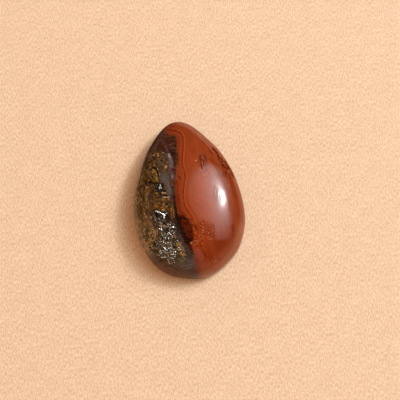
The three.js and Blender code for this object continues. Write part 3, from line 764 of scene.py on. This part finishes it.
    # ---- dark zone: ground colours by area
    dark = g.ramp(fine, [(0.34, tone(40, 25, 13, MIDDLE)), (0.5, tone(68, 46, 30, MIDDLE)), (0.66, tone(104, 77, 52, MIDDLE))])
    level = g.noise(1.0, 3.0, 0.6, 0.6, g.stretch(0.7, 2.0, 1.0))
    plum = g.ramp(level, [(0.36, tone(48, 21, 13, TOP_L)), (0.5, tone(70, 35, 24, TOP_L)), (0.64, tone(90, 53, 39, TOP_L))])
    plum = g.vary(plum, fine, 0.18)
    dark = g.mix(g.smooth(g.jitter(g.attr("plum"), small, 0.4), 0.3, 0.7), dark, plum)
    edge = g.ramp(dash, [(0.36, tone(46, 25, 7, LEFT)), (0.46, tone(79, 48, 20, LEFT)), (0.56, tone(108, 72, 37, LEFT)), (0.66, tone(142, 102, 62, LEFT))])
    # the lower part lighter and mixed towards a pale tan, partly a painted sheen; the upper part a little darker
    edge = g.mix(g.smooth(sep[1], -2.5, -6.0), g.vary(edge, 0.0, 0.18), g.mix(0.3, g.vary(edge, 1.0, 0.24), tone(120, 86, 62, LEFT)))
    dark = g.mix(g.smooth(g.jitter(g.attr("edge"), small, 0.3), 0.2, 0.8), dark, edge)
    mottle = [(0.30, tone(36, 22, 5, MIDDLE)), (0.42, tone(50, 30, 7, MIDDLE)), (0.50, tone(98, 62, 11, MIDDLE)), (0.57, tone(132, 86, 25, MIDDLE)),
              (0.64, tone(122, 89, 50, MIDDLE)), (0.72, tone(68, 50, 40, MIDDLE))]
    gold = g.ramp(g.cells(3.0, g.warp(2.6, 0.6)), mottle)
    dark = g.mix(g.smooth(g.jitter(g.attr("moss_gold"), small, 0.6), 0.3, 0.7), dark, g.vary(gold, fine, 0.3))
    shelf = g.ramp(g.cells(2.6, g.stretch(0.6, 1.6, 1.0, g.warp(2.4, 0.6)), 0.4), mottle)
    shelf = g.vary(g.mix(0.3, shelf, tone(74, 52, 30, MIDDLE)), fine, 0.3)
    dark = g.mix(g.smooth(g.jitter(g.attr("layers"), small, 0.6), 0.3, 0.7), dark, shelf)
    smoke = g.vary(g.mix(g.smooth(sep[1], 7.0, 3.5), tone(78, 64, 46, MIDDLE), g.mix(g.smooth(sep[1], 3.8, 1.2), tone(80, 68, 57, MIDDLE), tone(92, 75, 68, MIDDLE))), mid, 0.22)
    smoke = g.vary(smoke, small, 0.16)
    dark = g.mix(g.mul(g.smooth(g.jitter(g.jitter(g.attr("smoke"), small, 0.5), mid, 0.8), -0.1, 1.0), 0.92), dark, smoke)
    clear = g.mix(g.smooth(sep[0], -6.5, -0.5), tone(86, 63, 44, FOOT), tone(76, 56, 46, FOOT))
    clear = g.vary(clear, level, 0.24)
    dark = g.mix(g.smooth(g.jitter(g.attr("clear"), mid, 0.4), 0.2, 0.8), dark, clear)
    dark = g.mix(g.mul(g.smooth(g.jitter(g.attr("clear_gold"), small, 0.5), 0.3, 0.7), 0.9), dark, g.ramp(g.cells(2.8, g.warp(2.4, 0.6), 0.4), [
        (0.36, tone(58, 38, 22, FOOT)), (0.5, tone(102, 73, 43, FOOT)), (0.64, tone(140, 107, 70, FOOT))]))
    dark = g.mix(g.mul(g.smooth(g.jitter(g.attr("foot_red"), mid, 0.6), 0.1, 0.9), 0.85), dark, g.vary(tone(92, 43, 22, (165, 270)), level, 0.25))
    dark = g.mix(g.mul(g.smooth(g.jitter(g.attr("dusk"), mid, 0.5), 0.15, 0.85), 0.9), dark, g.vary(g.mix(g.smooth(sep[1], -6.5, -10.0), tone(46, 33, 27, (180, 235)), tone(66, 50, 46, (180, 235))), small, 0.25))
    open_c = g.ramp(g.noise(5.0, 3.0, 0.6), [(0.34, tone(32, 23, 16, FOOT)), (0.5, tone(64, 48, 35, FOOT)), (0.66, tone(106, 84, 62, FOOT))])
    dark = g.mix(g.mul(g.smooth(g.math("MAXIMUM", g.attr("open_vug"), g.attr("open_sugar")), 0.1, 0.6), 0.9), dark, open_c)

    # ---- dark zone: the marks
    dark = paint(dark, "umber", tone(58, 31, 13, (155, 180)), 0.3, 0.8, by=fine)
    dark = paint(dark, "mauve", tone(92, 64, 62, (168, 170)), 0.2)
    dark = paint(dark, "ochre", tone(100, 68, 28, MIDDLE), 0.35, 1.5, 0.3, 0.8, 0.9, fine)
    dark = paint(dark, "rust", tone(122, 66, 26, MIDDLE), 0.3, 1.2, 0.25, 0.8, 0.95, fine)
    dark = paint(dark, "gold", tone(150, 104, 50, MIDDLE), 0.25, 0.9, 0.3, 0.8, 1.0, fine)
    lilac = g.mix(g.smooth(g.jitter(g.attr("lilac"), level, 0.5), 0.5, 0.95), tone(116, 92, 89, (168, 160)), tone(154, 134, 132, (168, 160)))
    dark = g.mix(g.smooth(g.jitter(g.jitter(g.attr("lilac"), fine, 0.5), mid, 0.4), 0.0, 1.0), dark, g.vary(lilac, small, 0.15))
    dark = paint(dark, "foot_line", tone(100, 56, 36, FOOT), 0.15, 0.9, 0.2, 1.0, 0.7)
    dark = paint(dark, "foot_grey", tone(110, 92, 82, (186, 267)), 0.1, 0.9, 0.2, 1.0, 0.6)

    # ---- together
    colour = g.mix(g.smooth(soft_seam, -0.7, 0.7), dark, red)
    well = g.ramp(g.jitter(fine, mid, 0.7), [(0.36, tone(48, 18, 9, (185, 228))), (0.5, tone(78, 25, 10, (185, 228))), (0.64, tone(108, 35, 13, (185, 228)))])
    colour = g.mix(g.smooth(g.jitter(g.attr("well"), small, 0.5), 0.2, 0.8), colour, well)
    colour = paint(colour, "seam_dark", tone(34, 18, 13, (180, 225)), 0.3, 1.0, 0.05, 0.95, 0.90, by=fine)
    colour = paint(colour, "maroon", tone(92, 25, 12, (185, 228)), 0.3, 1.0, 0.15, 0.9, 0.85, by=fine)
    colour = paint(colour, "tan", tone(166, 124, 88, MIDDLE), 0.2, 0.7)
    colour = paint(colour, "black", tone(28, 17, 12, (175, 225)), 0.3, 0.7, 0.12, 0.7)
    # painted shade along the rim: the colour made darker there
    colour = g.mix(g.attr("shaded_rim"), colour, g.mix(1.0, colour, (0.66, 0.36, 0.26, 1.0), "MULTIPLY"))
    colour = g.mix(g.smooth(g.attr("ground"), 0.2, 0.8), colour, g.mix(0.28, colour, tone(170, 140, 120)))

    rough = g.math("MULTIPLY_ADD", g.smooth(seam, 1.0, -1.0), 0.05, 0.07)
    rough = g.math("MULTIPLY_ADD", g.smooth(g.math("MAXIMUM", g.attr("ochre"), g.attr("gold")), 0.3, 0.9), 0.08, rough)
    rough = g.math("MAXIMUM", rough, g.mul(g.attr("open_vug"), 0.30))
    rough = g.math("MAXIMUM", rough, g.mul(g.attr("open_sugar"), 0.30))
    rough = g.math("MAXIMUM", rough, g.mul(g.attr("fleck"), 0.25))
    rough = g.math("MAXIMUM", rough, g.mul(g.attr("shaded_rim"), 0.42))
    rough = g.math("MAXIMUM", rough, g.mul(g.attr("ground"), 0.5))

    b = g.t.nodes.new("ShaderNodeBsdfPrincipled")
    b.inputs["IOR"].default_value = 1.54
    g.link(colour, b.inputs["Base Color"])
    g.link(rough, b.inputs["Roughness"])
    dull = g.math("MAXIMUM", g.mul(g.math("MAXIMUM", g.attr("open_vug"), g.attr("open_sugar")), 0.38), g.math("MAXIMUM", g.math("MAXIMUM", g.mul(g.smooth(g.attr("fleck"), 0.1, 0.7), 0.494), g.mul(g.attr("scuff_and_reflection"), 0.465)), g.mul(g.attr("shaded_rim"), 0.44)))
    g.link(g.math("SUBTRACT", 0.5, dull), b.inputs["Specular IOR Level"])
    o = g.t.nodes.new("ShaderNodeOutputMaterial")
    g.t.links.new(b.outputs[0], o.inputs[0])
    return mat


mesh.materials.append(agate_material())
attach(stone, "root")
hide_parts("stone")


# ----------------------------------------------------------------- crystals --
def frame_of(axis):
    axis = axis / np.linalg.norm(axis)
    side = np.cross(axis, [0.3, 0.9, 0.1])
    side /= np.linalg.norm(side)
    return side, np.cross(axis, side), axis


def crystal(base, axis, width, body, point, spin):
    """A six-sided crystal, closed at the bottom, with a pointed end, or a flat
    one if the point has no height. The sides differ a little in width."""
    a, b, c = frame_of(axis)
    ang = spin + np.arange(6) * np.pi / 3
    reach = width * (1 + 0.22 * np.sin(ang * 2 + spin * 7.0) + 0.1 * np.sin(ang * 3 + spin * 3.0))
    ring = (np.cos(ang) * reach)[:, None] * a + (np.sin(ang) * reach)[:, None] * b
    lo, hi = base + ring, base + ring + c * body
    f = [(5, 4, 3, 2, 1, 0)]
    for q in range(6):
        f.append((q, (q + 1) % 6, 6 + (q + 1) % 6, 6 + q))
    if point == 0:
        return np.concatenate([lo, hi]), f + [(6, 7, 8, 9, 10, 11)]
    tip = base + c * (body + point)
    f += [(6 + q, 6 + (q + 1) % 6, 12) for q in range(6)]
    return np.concatenate([lo, hi, tip[None]]), f


TINTS = ("gold", "rust", "tan", "black", "ochre")


def crystals():
    vs, fs, n = [], [], 0
    attrs = {name: [] for name in TINTS + ("shade", "warm", "glint")}
    gx, gy = chart_to_plan([(p[0], p[1]) for p in GLINTS])
    plan = list(zip(gx, gy))
    # scatter the rest over the open places
    cand = rng.uniform([-11, -16], [3, 8], (60000, 2))
    u, v, f = fields(cand[:, 0], cand[:, 1], None)
    _, vg, sg = relief(u, v, cand[:, 0], cand[:, 1], f)
    ok = (rng.uniform(0, 1, len(cand)) < np.maximum(vg * 0.6, sg)) & (f["rim"] > 0.8)
    chosen = np.array(plan)
    room = np.array([0.15 + 0.2 * p[2] for p in GLINTS])
    out = []
    for c in cand[ok]:
        if np.any(np.hypot(*(chosen - c).T) < room):
            continue
        chosen = np.vstack([chosen, c])
        room = np.append(room, 0.19)
        out.append(c)
        if len(out) >= 1100:
            break
    pts = np.array(plan + out)
    sizes = np.array([p[2] for p in GLINTS] + [0.0] * len(out))
    u, v, f = fields(pts[:, 0], pts[:, 1], None)
    deep, vg, sg = relief(u, v, pts[:, 0], pts[:, 1], f)
    top = dome(pts[:, 0], pts[:, 1])
    nrm = normal_at(pts[:, 0], pts[:, 1])
    # paler in the middle of the sugary patch, darker in the pockets above it
    depth = 1.4 + 0.6 * step(225, 219, v) + 2.0 * step(205, 198, v) - 0.55 * blob(u, v, 164.5, 252.5, 11, 9, 0, 0.5) + 1.3 * blob(u, v, 157.5, 242.5, 6, 6, 0, 0.5) + 1.5 * blob(u, v, 180.5, 249, 5, 9, 0, 0.5) - 1.1 * blob(u, v, 161.5, 219.5, 4.5, 4, 0, 0.5)
    for k, (x, y) in enumerate(pts):
        if sizes[k] > 0:
            # a flat end that looks half way between the light and the front
            width = 0.20 * sizes[k] - (0.0 if sizes[k] > 0.75 else 0.02)
            axis = HALF + rng.normal(0, 0.013, 3)
            axis /= np.linalg.norm(axis)
            lift = 1.3 * width * math.sqrt(max(0.0, 1 - float(axis @ nrm[k]) ** 2))
            body, point = 0.30, 0.0
            head = np.array([x, y, top[k]]) - nrm[k] * (lift + 0.015)
            vv, ff = crystal(head - axis * body, axis, width, body, point, rng.uniform(0, 6.28))
        else:
            width = rng.uniform(0.09, 0.19)
            point = width * rng.uniform(0.8, 1.2)
            body = rng.uniform(0.02, 0.10)
            axis = np.array([*rng.normal(0, 0.32, 2), 1.0])
            axis /= np.linalg.norm(axis)
            z = min(top[k] - deep[k] - 0.05, top[k] - 0.015 - (body + point) * axis[2])
            vv, ff = crystal(np.array([x, y, z]), axis, width, body, point, rng.uniform(0, 6.28))
        vs.append(vv)
        fs += [tuple(i + n for i in q) for q in ff]
        n += len(vv)
        for name in TINTS:
            attrs[name].append(np.full(len(vv), f[name][k]))
        attrs["shade"].append(np.full(len(vv), rng.uniform(0, 1) ** depth[k]))
        attrs["warm"].append(np.full(len(vv), rng.uniform(0, 1)))
        attrs["glint"].append(np.full(len(vv), 0.0 if sizes[k] == 0 else min(1.0, 0.4 + 2.6 * (sizes[k] - 0.36))))
    return np.concatenate(vs), fs, {name: np.concatenate(a) for name, a in attrs.items()}


def crystal_material():
    mat = bpy.data.materials.new("quartz_crust")
    mat.use_nodes = True
    g = Nodes(mat)
    D = (166, 240)
    c = g.ramp(g.attr("shade"), [(0.0, tone(24, 17, 10, D)), (0.3, tone(62, 46, 33, D)), (0.6, tone(116, 91, 68, D)), (0.8, tone(164, 136, 108, D)), (1.0, tone(218, 192, 162, D))])
    c = g.mix(g.smooth(g.attr("warm"), 0.68, 0.95), c, g.mix(0.6, c, tone(128, 86, 46, D)))
    c = g.mix(g.smooth(g.attr("warm"), 0.16, 0.04), c, g.mix(0.6, c, tone(52, 62, 66, D)))
    c = g.mix(g.mul(g.attr("ochre"), 0.7), c, tone(98, 70, 38, D))
    c = g.mix(g.mul(g.attr("rust"), 0.8), c, tone(134, 78, 36, D))
    c = g.mix(g.mul(g.attr("gold"), 0.7), c, tone(146, 104, 54, D))
    c = g.mix(g.mul(g.attr("tan"), 0.8), c, tone(172, 138, 104, D))
    c = g.mix(g.mul(g.attr("black"), 0.75), c, tone(38, 29, 24, D))
    b = g.t.nodes.new("ShaderNodeBsdfPrincipled")
    b.inputs["IOR"].default_value = 1.54
    g.link(g.math("MULTIPLY_ADD", g.attr("glint"), -0.18, 0.30), b.inputs["Roughness"])
    g.link(g.math("MULTIPLY_ADD", g.smooth(g.attr("glint"), 0.0, 0.4), 0.36, 0.14), b.inputs["Specular IOR Level"])
    g.link(c, b.inputs["Base Color"])
    o = g.t.nodes.new("ShaderNodeOutputMaterial")
    g.t.links.new(b.outputs[0], o.inputs[0])
    return mat


cv, cf, ca = crystals()
cmesh = bpy.data.meshes.new("quartz_crust")
cmesh.from_pydata((cv * MM).tolist(), [], cf)
cmesh.validate()
for name, values in ca.items():
    at = cmesh.attributes.new("m_" + name, "FLOAT", "POINT")
    at.data.foreach_set("value", values.astype(np.float32))
crust = bpy.data.objects.new("quartz_crust", cmesh)
bpy.context.scene.collection.objects.link(crust)
cmesh.materials.append(crystal_material())
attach(crust, "root")
print("crystals", len(cf), "faces")


# ------------------------------------------------------------------ stage ---
floor_mesh = bpy.data.meshes.new("floor")
S = 2.0
floor_mesh.from_pydata([(-S, -S, 0), (S, -S, 0), (S, S, 0), (-S, S, 0)], [], [(0, 1, 2, 3)])
floor = bpy.data.objects.new("floor", floor_mesh)
bpy.context.scene.collection.objects.link(floor)
floor.location.z = -0.00002
fm = bpy.data.materials.new("paper")
fm.use_nodes = True
fg = Nodes(fm)
fb = fg.t.nodes.new("ShaderNodeBsdfPrincipled")
fb.inputs["Roughness"].default_value = 0.9
fb.inputs["Specular IOR Level"].default_value = 0.2
FLOOR = (0.92, 0.728, 0.512, 1.0)
grain = fg.add(fg.noise(1.0, 2.0, 0.6, 0.0, fg.stretch(4.2, 1.7, 1.0)), fg.math("MULTIPLY_ADD", fg.noise(0.35, 2.0, 0.6), 0.14, -0.07))
dots = []
for amount in (0.40, 0.54, 0.86):
    dots.append(fg.math("MULTIPLY_ADD", fg.math("SUBTRACT", grain, 0.5), 2 * amount, 1.0))
fg.link(fg.mix(1.0, FLOOR, fg.combine(*dots), "MULTIPLY"), fb.inputs["Base Color"])
fo = fg.t.nodes.new("ShaderNodeOutputMaterial")
fg.t.links.new(fb.outputs[0], fo.inputs[0])
floor_mesh.materials.append(fm)

# one soft light from the right: its strength falls away from a hot middle
CARD = 1200.0
HOT, CORE, GLOW, VEIL = 36.0, 16.0, 10.0, 9.1
FILL, FILL_COLOUR = 0.55, (1.0, 0.545, 0.318)
E1 = np.cross([0, 0, 1.0], KEY)
E1 /= np.linalg.norm(E1)
E2 = np.cross(KEY, E1)


def light_card():
    corners = [(0.66, 0.98), (0.60, -0.62), (-0.98, -0.62), (-0.72, 0.98)]
    pts = [(KEY + E1 * a + E2 * b) * CARD * MM for a, b in corners]
    me = bpy.data.meshes.new("window")
    me.from_pydata([tuple(p) for p in pts], [], [(0, 1, 2, 3)])
    me.update()
    uv = me.uv_layers.new(name="card")
    for k, (a, b) in enumerate([corners[l.vertex_index] for l in me.loops]):
        uv.data[k].uv = (a, b)
    ob = bpy.data.objects.new("window", me)
    bpy.context.scene.collection.objects.link(ob)
    m = bpy.data.materials.new("window")
    m.use_nodes = True
    g = Nodes(m)
    u = g.t.nodes.new("ShaderNodeUVMap")
    u.uv_map = "card"
    s = g.separate(u.outputs[0])
    du = g.mul(s[0], 1.05)

    def away(dv):
        up, down = g.math("MAXIMUM", dv, 0.0), g.mul(g.math("MINIMUM", dv, 0.0), 1.1)
        return g.add(g.mul(du, du), g.add(g.mul(up, up), g.mul(down, down)))

    r2 = away(g.math("MULTIPLY_ADD", g.math("MINIMUM", s[0], 0.0), 0.4, g.add(s[1], -0.03)))
    e = g.add(s[0], 0.035)
    dh = g.add(g.mul(g.math("MAXIMUM", e, 0.0), 1.02), g.mul(g.math("MINIMUM", e, 0.0), 1.6))
    dv = g.math("MULTIPLY_ADD", g.math("MINIMUM", s[0], 0.0), 0.6, s[1])
    up, down = g.mul(g.math("MAXIMUM", dv, 0.0), 1.12), g.mul(g.math("MINIMUM", dv, 0.0), 1.0)
    h2 = g.add(g.mul(dh, dh), g.add(g.mul(up, up), g.mul(down, down)))
    flat = g.mul(h2, 1 / 0.013)
    veil = g.mul(g.math("EXPONENT", g.mul(g.math("SQRT", r2), -1 / 0.27)), VEIL)
    core = g.add(g.mul(g.math("EXPONENT", g.mul(g.mul(flat, flat), -1.0)), CORE), g.mul(g.math("EXPONENT", g.mul(h2, -50.0)), GLOW))
    core = g.add(core, g.mul(g.math("EXPONENT", g.mul(h2, -700.0)), HOT))
    # the bright field ends at a sill below, at a sharp left side and a stepped top
    sill = g.math("MULTIPLY_ADD", g.smooth(s[0], -0.22, 0.0), -0.11, g.math("MULTIPLY_ADD", g.smooth(s[0], 0.0, 0.36), -0.05, -0.075))
    over = g.math("SUBTRACT", s[1], sill)
    head = g.math("SUBTRACT", s[1], g.math("MULTIPLY_ADD", g.smooth(s[0], -0.30, 0.02), 0.34, 0.56))
    right = g.smooth(g.math("MULTIPLY_ADD", s[1], -0.25, s[0]), 0.42, 0.28)
    left = g.smooth(g.math("MULTIPLY_ADD", s[1], -0.3, s[0]), -0.88, -0.80)
    sides = g.mul(right, left)
    field = g.mul(g.mul(g.smooth(over, -0.012, 0.02), g.smooth(head, 0.05, -0.05)), sides)
    below = g.mul(g.smooth(s[1], -0.60, -0.40), g.mul(sides, g.math("MULTIPLY_ADD", g.smooth(s[0], -0.12, 0.06), 0.45, 0.22)))
    strip = g.mul(g.mul(g.smooth(over, -0.10, -0.075), g.smooth(over, -0.025, -0.05)), g.mul(g.smooth(s[0], -0.75, -0.5), g.smooth(s[0], 0.05, -0.05)))
    light = g.add(g.mul(g.add(veil, core), g.math("MAXIMUM", field, 0.0)), g.add(g.mul(veil, g.mul(below, g.math("SUBTRACT", 1.0, field))), g.mul(strip, 0.9)))
    em = g.t.nodes.new("ShaderNodeEmission")
    g.link(light, em.inputs["Strength"])
    o = g.t.nodes.new("ShaderNodeOutputMaterial")
    g.t.links.new(em.outputs[0], o.inputs[0])
    me.materials.append(m)
    ob.visible_camera = False


light_card()

world = bpy.data.worlds.new("room")
bpy.context.scene.world = world
world.use_nodes = True
world.node_tree.nodes["Background"].inputs[0].default_value = (*FILL_COLOUR, 1)
world.node_tree.nodes["Background"].inputs[1].default_value = FILL
world.cycles_visibility.glossy = False

# ----------------------------------------------------------------- camera ---
cam_data = bpy.data.cameras.new("camera")
cam_data.lens = LENS
cam_data.sensor_width = 36.0
cam_data.clip_start = 0.005
cam_data.clip_end = 10.0
cam = bpy.data.objects.new("camera", cam_data)
bpy.context.scene.collection.objects.link(cam)
cam.matrix_world = Matrix((
    (RIGHT[0], UP[0], BACK[0], EYE[0] * MM),
    (RIGHT[1], UP[1], BACK[1], EYE[1] * MM),
    (RIGHT[2], UP[2], BACK[2], EYE[2] * MM),
    (0, 0, 0, 1)))
bpy.context.scene.camera = cam
bpy.context.scene.view_settings.view_transform = "Standard"

bpy.context.view_layer.update()
